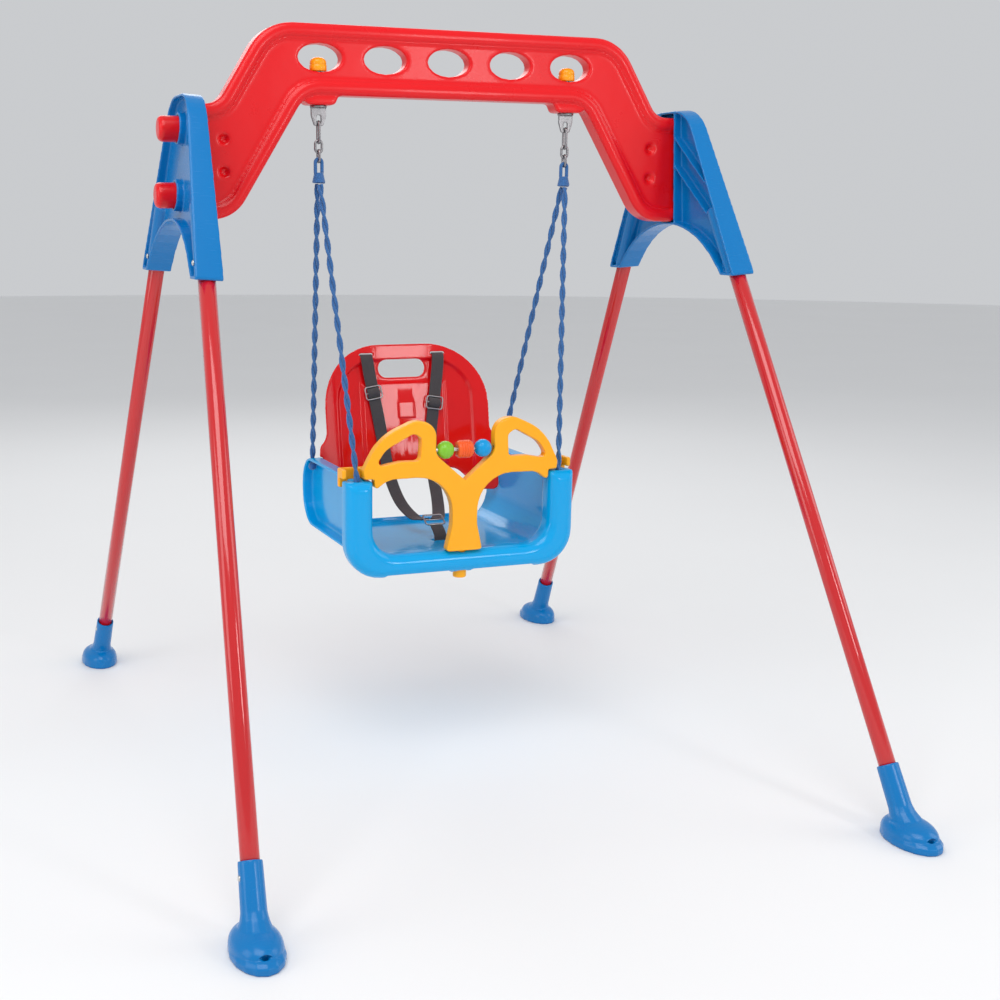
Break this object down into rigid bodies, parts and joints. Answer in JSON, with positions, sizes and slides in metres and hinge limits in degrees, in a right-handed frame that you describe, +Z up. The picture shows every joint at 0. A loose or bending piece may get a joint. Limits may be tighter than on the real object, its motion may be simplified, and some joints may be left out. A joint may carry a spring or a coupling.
{
  "type": "toddler garden swing",
  "caption": "Free-standing toddler swing: moulded beam on A-shaped brackets with splayed tube legs, and a rope-hung bucket seat with backrest, harness and lifting T-shaped safety bar.",
  "frame": {"origin": "on the ground, under the middle of the beam", "axes": "+X along the beam, +Y towards the back of the seat, so that the child faces -Y, and +Z up"},
  "size_m": [1.0296, 1.346, 1.148],
  "materials": {
    "beam_red": "glossy blow-moulded plastic, faint ripple",
    "frame_blue": "glossy injection-moulded plastic",
    "leg_red": "glossy powder-coated steel tube",
    "screw_steel": "zinc-plated",
    "cap_yellow": "glossy moulded plastic",
    "chain_steel": "zinc-plated, slightly dulled",
    "rope_blue": "twisted synthetic rope",
    "webbing": "woven flat webbing",
    "buckle_steel": "plated wire frame",
    "seat_blue": "glossy moulded plastic",
    "back_red": "glossy moulded plastic",
    "bar_yellow": "glossy moulded plastic",
    "bead_green": "glossy moulded plastic",
    "bead_orange": "glossy moulded plastic",
    "bead_blue": "glossy moulded plastic"
  },
  "bodies": {
    "frame": {"crossbeam": "beam_red", "bracket_left": "frame_blue", "leg_front_left": "leg_red", "foot_front_left": "frame_blue", "foot_screw_front_left": "screw_steel", "sleeve_screw_front_left": "screw_steel", "leg_back_left": "leg_red", "foot_back_left": "frame_blue", "foot_screw_back_left": "screw_steel", "sleeve_screw_back_left": "screw_steel", "hanger_cap_left": "cap_yellow", "eyebolt_left": "chain_steel", "bracket_right": "frame_blue", "leg_front_right": "leg_red", "foot_front_right": "frame_blue", "foot_screw_front_right": "screw_steel", "sleeve_screw_front_right": "screw_steel", "leg_back_right": "leg_red", "foot_back_right": "frame_blue", "foot_screw_back_right": "screw_steel", "sleeve_screw_back_right": "screw_steel", "hanger_cap_right": "cap_yellow", "eyebolt_right": "chain_steel"},
    "seat": {"chain_link_1_left": "chain_steel", "chain_link_2_left": "chain_steel", "chain_link_3_left": "chain_steel", "rope_eye_left": "rope_blue", "rope_front_left": "rope_blue", "rope_back_left": "rope_blue", "knot_front_left": "rope_blue", "knot_back_left": "rope_blue", "shoulder_strap_left": "webbing", "chain_link_1_right": "chain_steel", "chain_link_2_right": "chain_steel", "chain_link_3_right": "chain_steel", "rope_eye_right": "rope_blue", "rope_front_right": "rope_blue", "rope_back_right": "rope_blue", "knot_front_right": "rope_blue", "knot_back_right": "rope_blue", "shoulder_strap_right": "webbing", "seat_shell": "seat_blue", "backrest": "back_red", "crotch_strap": "webbing", "crotch_buckle": "buckle_steel"},
    "bar": {"safety_bar": "bar_yellow", "bead_rod": "screw_steel"},
    "bead_green": {"bead_green": "bead_green"},
    "bead_roller": {"bead_roller": "bead_orange"},
    "bead_blue": {"bead_blue": "bead_blue"},
    "adjuster_left": {"strap_adjuster_left": "buckle_steel"},
    "adjuster_right": {"strap_adjuster_right": "buckle_steel"}
  },
  "joints": [
    {"name": "swing", "type": "hinge", "parent": "frame", "child": "seat", "pos_m": [0, 0, 1.004], "axis": [1, 0, 0], "range_deg": [-40, 40]},
    {"name": "bar_lift", "type": "slide", "parent": "seat", "child": "bar", "axis": [0, 0, 1], "range_m": [0, 0.07]},
    {"name": "green_spin", "type": "hinge", "parent": "bar", "child": "bead_green", "pos_m": [-0.032, -0.094, 0.512], "axis": [1, 0, 0], "continuous": true},
    {"name": "roller_spin", "type": "hinge", "parent": "bar", "child": "bead_roller", "pos_m": [0, -0.094, 0.512], "axis": [1, 0, 0], "continuous": true},
    {"name": "blue_spin", "type": "hinge", "parent": "bar", "child": "bead_blue", "pos_m": [0.032, -0.094, 0.512], "axis": [1, 0, 0], "continuous": true},
    {"name": "adjuster_left_slide", "type": "slide", "parent": "seat", "child": "adjuster_left", "axis": [-0.152, 0.171, 0.9735], "range_m": [-0.03, 0.03]},
    {"name": "adjuster_right_slide", "type": "slide", "parent": "seat", "child": "adjuster_right", "axis": [0.152, 0.171, 0.9735], "range_m": [-0.03, 0.03]}
  ]
}
